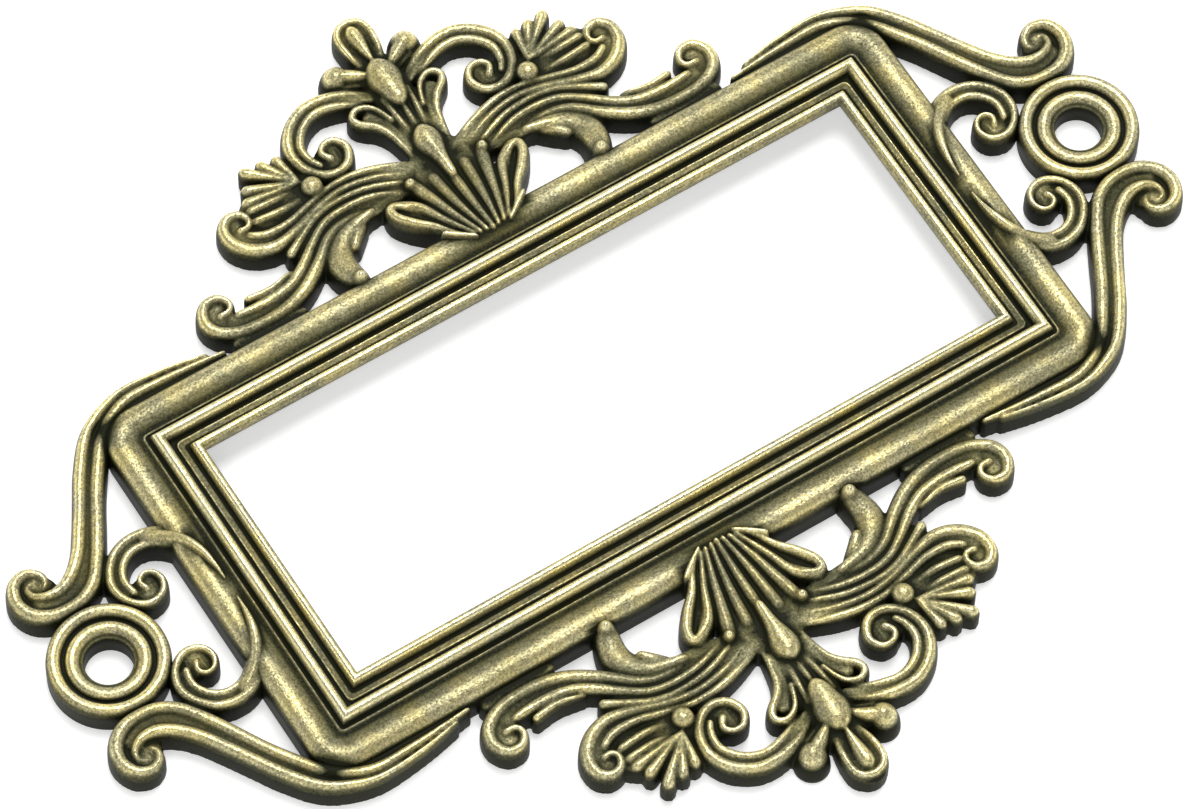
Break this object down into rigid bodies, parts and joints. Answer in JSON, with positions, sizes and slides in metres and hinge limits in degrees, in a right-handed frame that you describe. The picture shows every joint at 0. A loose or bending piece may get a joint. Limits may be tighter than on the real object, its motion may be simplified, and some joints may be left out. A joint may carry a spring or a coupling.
{
  "type": "label holder",
  "caption": "Flat cast label holder: a moulded rectangular frame round an open window, with scrolled ends carrying screw eyelets and leaf crests on the long sides.",
  "frame": {"origin": "centre of the window on the flat back that lies on the drawer front", "axes": "+X along the longer side through both screw eyelets, +Y towards one leaf crest, +Z out of the face"},
  "size_m": [0.0776, 0.0618, 0.003],
  "materials": {
    "antique_brass": "antique brass plate on a zinc-alloy casting, dark in the recesses and rubbed bright on the ridges"
  },
  "bodies": {
    "root": {"label_frame": "antique_brass"}
  },
  "joints": []
}
